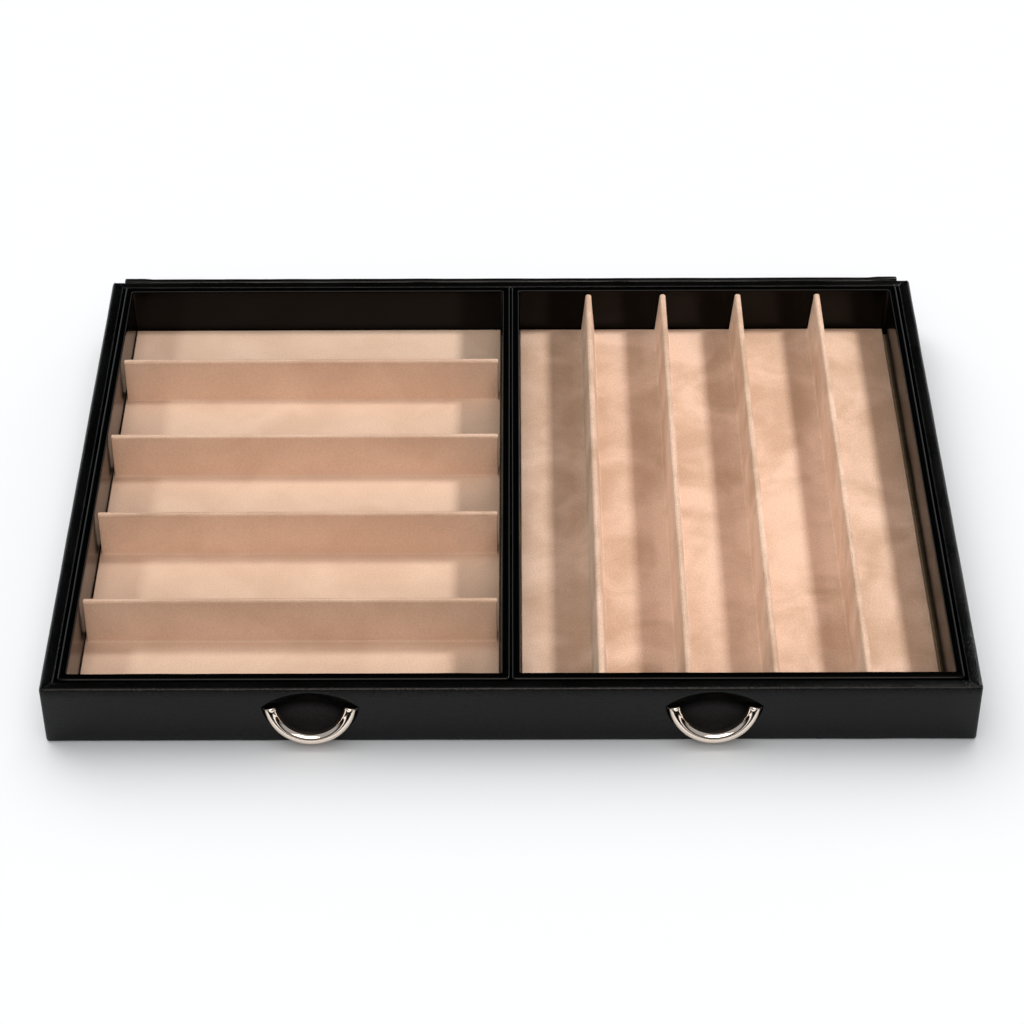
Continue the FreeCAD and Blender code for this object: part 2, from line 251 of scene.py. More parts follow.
def objectPlace(tree):
    return addNode(tree, "ShaderNodeTexCoord").outputs["Object"]


def addNoise(tree, place, scale, detail=2.0, roughness=0.5, distortion=0.0):
    noise = addNode(tree, "ShaderNodeTexNoise", {
        "Scale": scale, "Detail": detail, "Roughness": roughness, "Distortion": distortion})
    tree.links.new(place, noise.inputs["Vector"])
    return noise.outputs["Fac"]


def remap(tree, source, low, high, newLow, newHigh):
    node = addNode(tree, "ShaderNodeMapRange", {
        "From Min": low, "From Max": high, "To Min": newLow, "To Max": newHigh})
    tree.links.new(source, node.inputs["Value"])
    return node.outputs["Result"]


def mixColours(tree, factor, first, second):
    node = addNode(tree, "ShaderNodeMix", data_type="RGBA", clamp_factor=False)
    for socket, colour in ((node.inputs[6], first), (node.inputs[7], second)):
        if isinstance(colour, tuple):
            socket.default_value = (*colour, 1)
        else:
            tree.links.new(colour, socket)
    tree.links.new(factor, node.inputs[0])
    return node.outputs[2]


def combineNumbers(tree, how, first, second):
    node = addNode(tree, "ShaderNodeMath", operation=how)
    for socket, number in ((node.inputs[0], first), (node.inputs[1], second)):
        if isinstance(number, (int, float)):
            socket.default_value = number
        else:
            tree.links.new(number, socket)
    return node.outputs[0]


def addBump(tree, height, distance, strength):
    bump = addNode(tree, "ShaderNodeBump", {"Distance": distance, "Strength": strength})
    tree.links.new(height, bump.inputs["Height"])
    return bump.outputs["Normal"]


# ---- materials ----

pivots = {side: joints[side + "_pull_hinge"]["pos_m"] for side in ("left", "right")}
# most of a noise lies in this band
band = (0.3, 0.7)
# what all leathers share: the bend of their cells, the width of a crease and how dark it is, the
# fine grain on the cells, and how slow shading changes the roughness
grainShape = {"bend": 420.0, "crease": 0.35, "creaseShade": 0.5, "fine": 3.2, "fineShare": 0.5,
              "fineRough": 0.06, "slow": 38.0, "smoother": 0.03, "rougher": 0.05}
metalShape = {"marks": 900.0, "rougher": 0.05, "swell": 160.0, "relief": 0.00004, "bump": 0.25}
boardShape = {"fibre": 500.0, "relief": 0.0002, "bump": 0.4, "rough": 0.85}


def paintedShadeMask(tree, place, recessShade):
    # painted shade mask: 1 in the middle of a recess, 0 beyond its edge, the same left and right
    # of the part
    axes = addNode(tree, "ShaderNodeSeparateXYZ")
    tree.links.new(place, axes.inputs[0])
    side = combineNumbers(tree, "ABSOLUTE", axes.outputs["X"], 0.0)
    total = 0.0
    for source, middle, half in ((side, abs(pivots["right"][0]), recessShade["halfWidth"]),
                                 (axes.outputs["Z"], pivots["right"][2] - recessShade["drop"],
                                  recessShade["halfHeight"])):
        share = combineNumbers(tree, "DIVIDE", combineNumbers(tree, "SUBTRACT", source, middle),
                               half)
        total = combineNumbers(tree, "ADD", combineNumbers(tree, "MULTIPLY", share, share), total)
    return remap(tree, combineNumbers(tree, "SQRT", total, 0.0), recessShade["full"], recessShade["gone"],
                 1.0, 0.0)


def makeLeather(name, look, recessShade=None):
    # pebbled grain: raised cells with fine creases between them
    material, tree, shader = newMaterial(name)
    place = objectPlace(tree)
    bend = addNode(tree, "ShaderNodeTexNoise", {"Scale": grainShape["bend"], "Detail": 1.0})
    tree.links.new(place, bend.inputs["Vector"])
    drift = addNode(tree, "ShaderNodeVectorMath", {"Scale": look["drift"]}, operation="SCALE")
    tree.links.new(bend.outputs["Color"], drift.inputs[0])
    moved = addNode(tree, "ShaderNodeVectorMath", operation="ADD")
    tree.links.new(place, moved.inputs[0])
    tree.links.new(drift.outputs[0], moved.inputs[1])
    cells = addNode(tree, "ShaderNodeTexVoronoi", {"Scale": look["grain"]},
                    feature="DISTANCE_TO_EDGE")
    tree.links.new(moved.outputs[0], cells.inputs["Vector"])
    pebbles = remap(tree, cells.outputs["Distance"], 0.0, grainShape["crease"], 0.0, 1.0)
    fine = addNoise(tree, place, look["grain"] * grainShape["fine"], 3.0)
    slow = addNoise(tree, place, grainShape["slow"], 2.0)
    height = combineNumbers(tree, "ADD", pebbles,
                            combineNumbers(tree, "MULTIPLY", fine, grainShape["fineShare"]))
    normal = addBump(tree, height, look["relief"], look["bump"])
    tree.links.new(normal, shader.inputs["Normal"])
    colour = mixColours(tree, remap(tree, slow, *band, 0.0, 1.0), look["dark"], look["light"])
    crease = tuple(part * grainShape["creaseShade"] for part in look["dark"])
    colourWithShade = mixColours(tree, pebbles, crease, colour)
    # painted shade: beyond the middle of a recess the colour is painted black
    if recessShade:
        colourWithShade = mixColours(tree, paintedShadeMask(tree, place, recessShade), recessShade["deep"], colourWithShade)
    tree.links.new(colourWithShade, shader.inputs["Base Color"])
    shading = remap(tree, slow, *band, look["rough"] - grainShape["smoother"],
                    look["rough"] + grainShape["rougher"])
    rough = combineNumbers(tree, "ADD", shading,
                           combineNumbers(tree, "MULTIPLY", fine, grainShape["fineRough"]))
    tree.links.new(rough, shader.inputs["Roughness"])
    setSockets(shader, {"Specular IOR Level": look["specular"]})
    return material


def makeVelour(name, look):
    # short pile: slow patches where the nap is brushed, and a fine fibre grain
    material, tree, shader = newMaterial(name)
    place = objectPlace(tree)
    patches = addNoise(tree, place, look["patch"], 2.0, 0.5, 1.0)
    brushed = addNoise(tree, place, look["brushed"], 3.0, 0.6, 0.8)
    cloudy = combineNumbers(tree, "ADD",
                            combineNumbers(tree, "MULTIPLY", patches, look["patchShare"]),
                            combineNumbers(tree, "MULTIPLY", brushed, look["brushedShare"]))
    factor = remap(tree, cloudy, *look["cloudBand"], 0.0, 1.0)
    colour = mixColours(tree, factor, look["dark"], look["light"])
    fibre = addNoise(tree, place, look["fibre"], 2.0)
    nap = addNode(tree, "ShaderNodeVectorMath", operation="SCALE")
    tree.links.new(colour, nap.inputs[0])
    tree.links.new(remap(tree, fibre, *band, 1 - look["nap"], 1 + look["nap"]),
                   nap.inputs["Scale"])
    tree.links.new(nap.outputs[0], shader.inputs["Base Color"])
    normal = addBump(tree, fibre, look["relief"], look["bump"])
    tree.links.new(normal, shader.inputs["Normal"])
    setSockets(shader, {"Roughness": look["rough"], "Specular IOR Level": look["specular"],
                        "Sheen Weight": look["sheen"], "Sheen Roughness": look["sheenRough"],
                        "Sheen Tint": (*look["light"], 1)})
    return material


def makeMetal(name, look):
    # polished, with faint marks and a slow swell in its surface
    material, tree, shader = newMaterial(name)
    place = objectPlace(tree)
    marks = addNoise(tree, place, metalShape["marks"], 3.0)
    setSockets(shader, {"Metallic": 1.0, "Base Color": (*look["colour"], 1)})
    rough = remap(tree, marks, *band, look["rough"], look["rough"] + metalShape["rougher"])
    tree.links.new(rough, shader.inputs["Roughness"])
    normal = addBump(tree, addNoise(tree, place, metalShape["swell"], 2.0),
                     metalShape["relief"], metalShape["bump"])
    tree.links.new(normal, shader.inputs["Normal"])
    return material


def makeBoard(name, look):
    # pressed fibre or grey card
    material, tree, shader = newMaterial(name)
    fibre = addNoise(tree, objectPlace(tree), boardShape["fibre"], 4.0, 0.6)
    colour = mixColours(tree, remap(tree, fibre, *band, 0.0, 1.0), look["dark"], look["light"])
    tree.links.new(colour, shader.inputs["Base Color"])
    normal = addBump(tree, fibre, boardShape["relief"], boardShape["bump"])
    tree.links.new(normal, shader.inputs["Normal"])
    setSockets(shader, {"Roughness": boardShape["rough"]})
    return material


def makeMatte(name, colour):
    material, tree, shader = newMaterial(name)
    setSockets(shader, {"Roughness": 1.0, "Specular IOR Level": 0.0,
                        "Base Color": (*colour, 1)})
    return material


leatherLook = {"grain": 1150.0, "drift": 0.0006, "relief": 0.00008, "bump": 0.60,
               "dark": (0.0007, 0.0006, 0.0005), "light": (0.0014, 0.0012, 0.0011),
               "rough": 0.24, "specular": 0.25}
frameLook = {"grain": 1500.0, "drift": 0.0004, "relief": 0.00003, "bump": 0.12,
             "dark": (0.0007, 0.0006, 0.0005), "light": (0.0014, 0.0012, 0.0011),
             "rough": 0.12, "specular": 0.13}
# painted reflection: the recess leather is given a grey colour and little gloss, standing in for
# the grey that the black leather shows by reflecting the floor
paintedReflectionLook = {"grain": 1500.0, "drift": 0.0004, "relief": 0.00003, "bump": 0.12,
              "dark": (0.0230, 0.0229, 0.0240), "light": (0.0278, 0.0276, 0.0290),
              "rough": 0.45, "specular": 0.03}
# painted shade: the recess is painted black towards its arch and its ends, where shade falls
paintedShadeLook = {"halfWidth": 0.0130, "halfHeight": 0.0080, "drop": 0.0074, "full": 0.78,
              "gone": 1.22, "deep": (0.0006, 0.0005, 0.0004)}
liningLook = {"grain": 1500.0, "drift": 0.0004, "relief": 0.00003, "bump": 0.12,
              "dark": (0.0055, 0.0051, 0.0049), "light": (0.0085, 0.0078, 0.0075),
              "rough": 0.36, "specular": 0.34}
velourLook = {"patch": 28.0, "brushed": 75.0, "patchShare": 0.7, "brushedShare": 0.3,
              "cloudBand": (0.40, 0.60), "fibre": 1500.0, "nap": 0.10,
              "dark": (0.585, 0.392, 0.278), "light": (0.765, 0.548, 0.422),
              "relief": 0.00012, "bump": 0.35, "rough": 0.95, "specular": 0.1,
              "sheen": 0.12, "sheenRough": 0.45}
# the cloth of the left insert lies smoother than that of the right one
calmLook = dict(velourLook, dark=(0.645, 0.443, 0.326), light=(0.705, 0.497, 0.374), nap=0.07)
ringLook = {"colour": (1.0, 0.86, 0.74), "rough": 0.05}
pinLook = {"colour": (0.06, 0.055, 0.05), "rough": 0.35}
boardLook = {"dark": (0.34, 0.24, 0.15), "light": (0.46, 0.34, 0.22)}
cardLook = {"dark": (0.16, 0.15, 0.14), "light": (0.24, 0.23, 0.21)}

shellLeather = makeLeather("shellLeather", leatherLook)
frameLeather = makeLeather("frameLeather", frameLook)
# the recess leather carries painted reflection and painted shade
recessLeather = makeLeather("recessLeather", paintedReflectionLook, paintedShadeLook)
liningLeather = makeLeather("liningLeather", liningLook)
velour = {"left": makeVelour("velourLeft", calmLook),
          "right": makeVelour("velourRight", velourLook)}
ringMetal = makeMetal("ringMetal", ringLook)
pinSteel = makeMetal("pinSteel", pinLook)
fibreBoard = makeBoard("fibreBoard", boardLook)
greyCard = makeBoard("greyCard", cardLook)
print("materials made")


# ---- solids that are seen as they are ----

plainSolids = {"_card": greyCard, "_board": fibreBoard, "_pins": pinSteel,
               "base_lining": liningLeather}


def dressNode(name, material):
    node = frame["nodes"][name]
    node.data.materials.clear()
    node.data.materials.append(material)


for nodeName in frame["nodes"]:
    for ending, plainMaterial in plainSolids.items():
        if nodeName.endswith(ending):
            dressNode(nodeName, plainMaterial)
print("plain solids dressed")


# ---- shell leather ----

shell = {"skin": 0.0005, "cornerRound": (0.0012, 5), "rimRound": (0.0011, 4),
         "innerRound": (0.0009, 4), "footRound": (0.0009, 3), "seam": 0.00013, "seamWide": 0.0003,
         "step": 0.004, "stepUp": 0.0045, "waveSize": 0.022, "wave": 0.00022, "smooth": 35}
# the way out of the drawer at each wall, along X and Y
walls = {"front": (0, -1), "back": (0, 1), "left": (-1, 0), "right": (1, 0)}


def makeShellLoop():
    # leather all round the four walls, folded over their tops and in under their feet
    frontLow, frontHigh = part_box("front_leather")
    leftLow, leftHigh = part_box("left_leather")
    low = Vector((leftLow[0], frontLow[1], 0))
    high = Vector((-low.x, -low.y, frontHigh[2]))
    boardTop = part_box("base_board")[1][2]
    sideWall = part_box("left_board")[1][0] - low.x + shell["skin"]
    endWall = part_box("front_board")[1][1] - low.y + shell["skin"]
    flange = frontHigh[1] - low.y
    sideFlange = leftHigh[0] - low.x
    piece = addBlock("shellLoop", low, high)
    for height, ends, sides in ((high.z, endWall, sideWall), (0, flange, sideFlange)):
        pick(piece, "FACE", lambda face: near(face.calc_center_median().z, height)
             and (facesUp(face) or facesDown(face)))
        bpy.ops.mesh.inset(thickness=ends)
        pick(piece, "FACE", lambda face: near(face.calc_center_median().z, height)
             and all(abs(v.co.y) < high.y - ends / 2 for v in face.verts))
        bpy.ops.transform.resize(value=((high.x - sides) / (high.x - ends), 1, 1),
                                 center_override=(0, 0, 0))
        if height:
            bpy.ops.mesh.extrude_region_move(
                TRANSFORM_OT_translate={"value": (0, 0, boardTop - high.z)})
        bpy.ops.mesh.delete(type="FACE")
    bpy.ops.object.mode_set(mode="OBJECT")

    roundOff(piece, lambda edge: near(abs(edge.verts[0].co.x), high.x) and runsUp(edge),
             *shell["cornerRound"])

    def facesOut(face):
        middle = face.calc_center_median()
        return isUpright(face) and face.normal.dot(Vector((middle.x, middle.y, 0))) > 0

    def onOuterRim(edge, height):
        # the outer loop at a height, round its corners too
        return atHeight(edge, height) and any(facesOut(face) for face in edge.link_faces)

    roundOff(piece, lambda edge: onOuterRim(edge, high.z), *shell["rimRound"])
    roundOff(piece, lambda edge: onOuterRim(edge, 0), *shell["footRound"])
    roundOff(piece, lambda edge: onRim(edge, high.z), *shell["innerRound"])
    crossCut(piece, 0, low.x, high.x, shell["step"])
    crossCut(piece, 1, low.y, high.y, shell["step"])
    crossCut(piece, 2, 0, high.z, shell["stepUp"])
    wave(piece, shell["waveSize"], shell["wave"])
    applyModifier(piece, "SOLIDIFY", thickness=shell["skin"], offset=-1.0)
    return piece, high, sideWall, endWall


# ---- recess outlines ----

# where the front leather ends, along Y
frontFace = -0.1205
# heights are from the hinge line, and the fronts and backs are where the cutting tools end
recess = {"bay": 0.0168, "ringRise": 0.003, "shoulder": 0.0019, "crown": 0.0084, "sill": 0.0104,
          "lining": 0.0004, "depth": 0.0027, "holeDepth": 0.0015,
          "lipDepth": 0.0009, "lipShrink": 0.76, "lipOverlap": 0.0002,
          "throat": 0.0150, "throatDrop": 0.0066, "scoop": (0.0042, 6),
          "swing": 0.0034, "edge": 0.00022, "edgeAngle": 35,
          "bayFront": -0.1215, "archFront": -0.123, "archBack": -0.1, "throatFront": -0.1225,
          "sunk": 0.00002, "proud": 0.00001, "smooth": 35}


def recessTool(name, pivot, grown, depth):
    # the outline of a recess: a round bay, level at its sill, under a low arch
    ringCentre = pivot[2] + recess["ringRise"]
    bay = addDrum(name, (pivot[0], ringCentre), recess["bay"] + grown, recess["bayFront"],
                  frontFace + depth)
    shoulder = pivot[2] + recess["shoulder"]
    crown = pivot[2] + recess["crown"] + grown
    reach = math.sqrt((recess["bay"] + grown) ** 2 - (ringCentre - shoulder) ** 2)
    rise = crown - shoulder
    archRadius = (reach ** 2 + rise ** 2) / (2 * rise)
    arch = addDrum("arch", (pivot[0], crown - archRadius), archRadius,
                   recess["archFront"], recess["archBack"])
    combine(bay, arch, "INTERSECT")
    trim(bay, (0, 0, pivot[2] - recess["sill"] - grown), (0, 0, -1))
    return bay


# ---- shell covers ----

def mitreCut(piece, corner, away):
    # cuts a cover at its mitre and turns the cut edge in, so that a fine seam shows
    pick(piece, "FACE", lambda face: True)
    bpy.ops.mesh.bisect(plane_co=corner - away * shell["seamWide"], plane_no=away,
                        threshold=weld)
    bpy.ops.object.mode_set(mode="OBJECT")
    trim(piece, corner, away, fill=False)
    pick(piece, "VERT", lambda vert: vert.is_boundary
         and near((vert.co - corner).dot(away), 0))
    bpy.ops.transform.shrink_fatten(value=-shell["seam"])
    bpy.ops.object.mode_set(mode="OBJECT")
    pick(piece, "EDGE", lambda edge: edge.is_boundary)
    bpy.ops.mesh.edge_face_add()
    bpy.ops.object.mode_set(mode="OBJECT")


def makeShellCovers():
    loop, high, sideWall, endWall = makeShellLoop()
    for wall, (outX, outY) in walls.items():
        piece = copyOf(loop, wall + "Leather")
        for end in (-1, 1):
            across, along = outX or end, outY or end
            away = Vector((across * endWall, -along * sideWall, 0))
            if outX:
                away = -away
            corner = Vector((across * high.x, along * high.y, 0))
            mitreCut(piece, corner, away.normalized())
        trim(piece, (0, 0, 0), (-outX, -outY, 0), fill=False)
        if wall == "front":
            for side in pivots:
                hole = recessTool("hole", pivots[side], recess["lining"], recess["holeDepth"])
                combine(piece, hole, "DIFFERENCE")
        finish(piece, "drawer", shellLeather, [wall + "_leather"],
               shell["smooth"])
    bpy.data.objects.remove(loop)


makeShellCovers()
print("shell leather made")


# ---- recess linings ----

def makeRecess(side):
    pivot = pivots[side]
    back = frontFace + recess["depth"]
    piece = recessTool(side + "RecessLining", pivot, recess["lining"],
                       recess["depth"] + recess["lining"])
    trim(piece, (0, frontFace + recess["sunk"], 0), (0, -1, 0))
    # the deep pocket is as wide as the ring up to where its ends swing, and narrower above
    pocket = recessTool("pocket", pivot, 0, recess["depth"])
    trim(pocket, (0, 0, pivot[2] + recess["swing"]), (0, 0, 1))
    # above the hinge line the hollow is dished
    throat = addDrum("throat", (pivot[0], pivot[2] - recess["throatDrop"]), recess["throat"],
                     recess["throatFront"], back)
    roundOff(throat, lambda edge: all(near(vert.co.y, back) for vert in edge.verts),
             *recess["scoop"])
    trim(throat, (0, 0, pivot[2]), (0, 0, -1))
    # a lip slants in from the arch
    lip = recessTool("lip", pivot, 0, recess["lipDepth"])
    trim(lip, (0, 0, pivot[2] + recess["shoulder"] - recess["lipOverlap"]), (0, 0, -1))
    trim(lip, (0, frontFace - recess["proud"], 0), (0, -1, 0))
    pick(lip, "VERT", lambda vert: vert.co.y > frontFace + recess["lipDepth"] / 2)
    bpy.ops.transform.resize(value=(recess["lipShrink"], 1, 1),
                             center_override=(pivot[0], 0, 0))
    bpy.ops.object.mode_set(mode="OBJECT")
    for tool in (pocket, throat, lip):
        combine(piece, tool, "DIFFERENCE")
    tidy(piece)
    applyModifier(piece, "BEVEL", width=recess["edge"], segments=2, limit_method="ANGLE",
                  angle_limit=math.radians(recess["edgeAngle"]))
    finish(piece, "drawer", recessLeather, [side + "_recess_lining"],
           recess["smooth"])


for pullSide in pivots:
    makeRecess(pullSide)
print("recesses made")


# ---- ring pulls ----

ring = {"radius": 0.0142, "above": 0.0030, "thick": 0.0044, "wide": 0.0048, "forward": 0.00075,
        "tilt": 15.3, "round": 0.0021, "roundSteps": 7, "steps": 64,
        "end": 0.0016, "endRound": 0.0006, "endSteps": 4, "smooth": 50}
# how closely a face has to match the cut ends of the ring to be taken for one of them
ringEnd = {"tilt": 0.02, "below": 0.001, "leastCorners": 7}


def makeRing(side):
    # a rounded section spun half way round, with stubby ends at the hinge line
    clearAll()
    bpy.ops.mesh.primitive_plane_add(size=1, rotation=(0, math.pi / 2, 0),
                                     location=(0, -ring["forward"], -ring["radius"]))
    piece = bpy.context.active_object
    piece.name = side + "PullRing"
    piece.scale = (ring["thick"], ring["wide"], 1)
    bpy.ops.object.transform_apply(location=True, rotation=True, scale=True)
    pick(piece, "VERT", lambda vert: True)
    bpy.ops.mesh.bevel(offset=ring["round"], segments=ring["roundSteps"], affect="VERTICES")
    half = math.acos(ring["above"] / ring["radius"])
    bpy.ops.mesh.select_all(action="SELECT")
    bpy.ops.object.mode_set(mode="OBJECT")
    piece.rotation_euler = (0, half, 0)
    bpy.ops.object.transform_apply(location=True, rotation=True, scale=True)
    pick(piece, "FACE", lambda face: True)
    bpy.ops.mesh.spin(steps=ring["steps"], angle=2 * half, center=(0, 0, 0), axis=(0, 1, 0))
    bpy.ops.object.mode_set(mode="OBJECT")
    tidy(piece)
    for sign in (-1, 1):
        outward = Vector((sign * math.sin(half), 0, -math.cos(half)))
        pick(piece, "FACE", lambda face: abs(face.normal.dot(outward)) < ringEnd["tilt"]
             and abs(face.normal.y) < ringEnd["tilt"]
             and face.calc_center_median().x * sign > 0
             and face.calc_center_median().z > -ring["above"] - ringEnd["below"]
             and len(face.verts) >= ringEnd["leastCorners"])
        bpy.ops.mesh.extrude_region_move()
        bpy.ops.transform.translate(value=(sign * math.cos(half) * ring["end"], 0,
                                           math.sin(half) * ring["end"]))
        bpy.ops.mesh.bevel(offset=ring["endRound"], segments=ring["endSteps"],
                           affect="EDGES")
        bpy.ops.object.mode_set(mode="OBJECT")
    pivot = pivots[side]
    piece.location = (0, 0, ring["above"])
    bpy.ops.object.transform_apply(location=True, rotation=True, scale=True)
    piece.rotation_euler = (-math.radians(ring["tilt"]), 0, 0)
    piece.location = pivot
    bpy.ops.object.transform_apply(location=True, rotation=True, scale=True)
    tidy(piece)
    finish(piece, side + "_pull", ringMetal, [side + "_pull_ring"],
           ring["smooth"])


for pullSide in pivots:
    makeRing(pullSide)
print("ring pulls made")


# ---- leather strip on the back ----

strip = {"round": (0.0007, 3), "roundAngle": 60, "fold": 0.010, "foldRise": 0.0004,
         "step": 0.004, "stepUp": 0.005, "waveSize": 0.02, "wave": 0.00022, "smooth": 40}


def makeBackStrip():
    # the leather is doubled at both ends, where it is folded over
    low, high = (Vector(corner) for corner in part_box("back_panel_leather"))
    piece = addBlock("backStripLeather", low, high)
    crossCut(piece, 0, low.x, high.x, strip["step"])
    crossCut(piece, 2, low.z, high.z, strip["stepUp"])
    for sign in (-1, 1):
        pick(piece, "VERT", lambda vert: vert.co.x * sign > high.x - strip["fold"]
             and near(vert.co.z, high.z))
        bpy.ops.transform.translate(value=(0, 0, strip["foldRise"]))
    roundOff(piece, lambda edge: len(edge.link_faces) == 2
             and edge.calc_face_angle() > math.radians(strip["roundAngle"]), *strip["round"])
    wave(piece, strip["waveSize"], strip["wave"])
    finish(piece, "drawer", shellLeather, ["back_panel_leather"],
           strip["smooth"])


makeBackStrip()
print("back strip made")


# ---- inner frames ----

innerFrame = {"skin": 0.0005, "outerCorner": (0.0014, 5), "innerCorner": (0.0009, 4),
              "rimRound": (0.0010, 4),
              "step": 0.004, "stepUp": 0.0045, "waveSize": 0.018, "wave": 0.00020,
              "smooth": 40}


def makeInnerFrame(side):
    # leather over a wall of card all round, open in the middle and below
    low, high = (Vector(corner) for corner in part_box(side + "_frame_leather"))
    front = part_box(side + "_frame_front_card")
    wall = front[1][1] - low.y + innerFrame["skin"]
    piece = addBlock(side + "FrameLeather", low, high)
    pick(piece, "FACE", facesDown)
    bpy.ops.mesh.delete(type="FACE")
    pick(piece, "FACE", facesUp)
    bpy.ops.mesh.inset(thickness=wall)
    bpy.ops.mesh.extrude_region_move(TRANSFORM_OT_translate={"value": (0, 0, low.z - high.z)})
    bpy.ops.mesh.delete(type="FACE")
    bpy.ops.object.mode_set(mode="OBJECT")

    roundOff(piece, lambda edge: runsUp(edge) and near(abs(edge.verts[0].co.y), high.y),
             *innerFrame["outerCorner"])
    roundOff(piece, lambda edge: runsUp(edge) and near(abs(edge.verts[0].co.y), high.y - wall),
             *innerFrame["innerCorner"])
    roundOff(piece, lambda edge: onRim(edge, high.z), *innerFrame["rimRound"])
    crossCut(piece, 0, low.x, high.x, innerFrame["step"])
    crossCut(piece, 1, low.y, high.y, innerFrame["step"])
    crossCut(piece, 2, low.z, high.z, innerFrame["stepUp"])
    wave(piece, innerFrame["waveSize"], innerFrame["wave"])
    applyModifier(piece, "SOLIDIFY", thickness=innerFrame["skin"], offset=-1.0)
    finish(piece, "drawer", frameLeather, [side + "_frame_leather"],
           innerFrame["smooth"])


for frameSide in ("left", "right"):
    makeInnerFrame(frameSide)
print("inner frames made")


# ---- velour inserts ----

# the reach is how much further the cloth goes at each side than its solid
insert = {"edgeRound": (0.0005, 3), "step": 0.005, "waveSize": 0.045, "wave": 0.00025,
          "reach": {"left": 0.00035, "right": 0.0}, "smooth": 40}
# the cuts are heights above the foot
divider = {"wrap": 0.00014, "endRound": (0.0005, 3), "flare": 0.0005, "footBand": 0.0002,
           "cuts": (0.0004, 0.0009, 0.003, 0.008, 0.013), "clearEnd": 0.001, "longEdge": 0.01,
           "step": 0.005, "waveSize": 0.05, "wave": 0.0002, "smooth": 50}
# how wide the ridge is, how round its two folds are and how far it dips between them
ridges = {"left": {"top": 0.0018, "crown": (0.0008, 6), "dip": 0.0},
          "right": {"top": 0.0021, "crown": (0.0008, 6), "dip": 0.00016}}


def makeInsertFloor(side):
    low, high = (Vector(corner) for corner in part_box(side + "_insert_velour"))
    low.x -= insert["reach"][side]
    high.x += insert["reach"][side]
    piece = addBlock(side + "InsertVelour", low, high)
    roundOff(piece, lambda edge: atHeight(edge, high.z), *insert["edgeRound"])
    crossCut(piece, 0, low.x, high.x, insert["step"])
    crossCut(piece, 1, low.y, high.y, insert["step"])
    wave(piece, insert["waveSize"], insert["wave"])
    finish(piece, side + "_insert", velour[side], [side + "_insert_velour"],
           insert["smooth"])


def makeDivider(name, node, side, axis):
    # a tent of cloth, drawn in to a soft ridge and turned out a little at its foot
    low, high = (Vector(corner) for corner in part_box(node))
    other = 1 - axis
    # the cloth wraps the ends of the card
    low[axis] -= divider["wrap"]
    high[axis] += divider["wrap"]
    ridge = ridges[side]
    middle = (low + high) / 2
    piece = addBlock(name, low, high)
    squeeze = [1, 1, 1]
    squeeze[other] = ridge["top"] / (high - low)[other]
    pick(piece, "FACE", facesUp)
    bpy.ops.transform.resize(value=squeeze, center_override=middle)
    roundOff(piece, lambda edge: atHeight(edge, high.z)
             and abs((edge.verts[0].co - edge.verts[1].co)[axis]) > divider["longEdge"],
             *ridge["crown"])

    def onEndProfile(edge):
        # the whole rim of an end face, up one flank, over the crown and down the other
        return (all(near(abs(v.co[axis] - middle[axis]), high[axis] - middle[axis])
                    for v in edge.verts)
                and max(v.co.z for v in edge.verts) > low.z + divider["clearEnd"])

    roundOff(piece, onEndProfile, *divider["endRound"])
    crossCut(piece, axis, low[axis], high[axis], divider["step"])
    cutAcross(piece, 2, [low.z + height for height in divider["cuts"]])
    # the foot turns out where it meets the floor, and the ridge dips between its two folds
    squeeze[other] = 1 + 2 * divider["flare"] / (high - low)[other]
    pick(piece, "VERT", lambda vert: vert.co.z < low.z + divider["footBand"])
    bpy.ops.transform.resize(value=squeeze, center_override=middle)
    bpy.ops.object.mode_set(mode="OBJECT")
    cutAcross(piece, other, [middle[other]])
    pick(piece, "VERT", lambda vert: near(vert.co[other], middle[other])
         and near(vert.co.z, high.z) and abs(vert.co[axis] - middle[axis])
         < high[axis] - middle[axis] - divider["clearEnd"])
    bpy.ops.transform.translate(value=(0, 0, -ridge["dip"]))
    bpy.ops.object.mode_set(mode="OBJECT")
    wave(piece, divider["waveSize"], divider["wave"])
    finish(piece, side + "_insert", velour[side], [node], divider["smooth"])


for insertSide in ("left", "right"):
    makeInsertFloor(insertSide)
for number in range(1, 5):
    makeDivider("crossDivider" + str(number), "cross_divider_" + str(number) + "_velour",
                "left", 0)
    makeDivider("finDivider" + str(number), "fin_divider_" + str(number) + "_velour",
                "right", 1)
print("inserts made")


# ---- floor, light and camera ----

studio = {"floorSize": 12.0, "floorColour": (0.95, 0.95, 0.95), "world": (0.92, 0.96, 1.0),
          "worldStrength": 0.38, "ceiling": (0.18, 0.40), "cardTowards": (0.0, 0.755, 0.656),
          "cardEdge": (0.68, 0.88), "darkShare": 0.02, "windowTowards": (0.628, 0.744, 0.228),
          "windowEdge": (0.93, 0.975), "window": 3.0}
# a lamp of size 0 is a far, even one, and its spread is the angle it fills in degrees
lamps = {
    "key": {"place": (0.55, 0.20, 0.62), "size": 0.10, "power": 5.05,
            "colour": (1.0, 1.0, 0.985), "lights": "object"},
    "left": {"place": (-0.70, 0.10, 0.60), "size": 0.12, "power": 2.3,
             "colour": (0.84, 0.98, 0.98), "lights": "object"},
    "front": {"place": (0.0, -0.90, 0.90), "size": 0.80, "power": 7.8,
              "colour": (1.0, 0.87, 0.77), "lights": "object"},
    "paper": {"place": (-0.20, 0.75, 1.2), "size": 0, "spread": 72.0, "power": 2.33,
              "colour": (1.0, 1.0, 1.0), "lights": "floor"},
    "paperFront": {"place": (0.0, -0.8, 1.2), "size": 0, "spread": 60.0, "power": 0.56,
                   "colour": (1.0, 1.0, 1.0), "lights": "floor"},
}
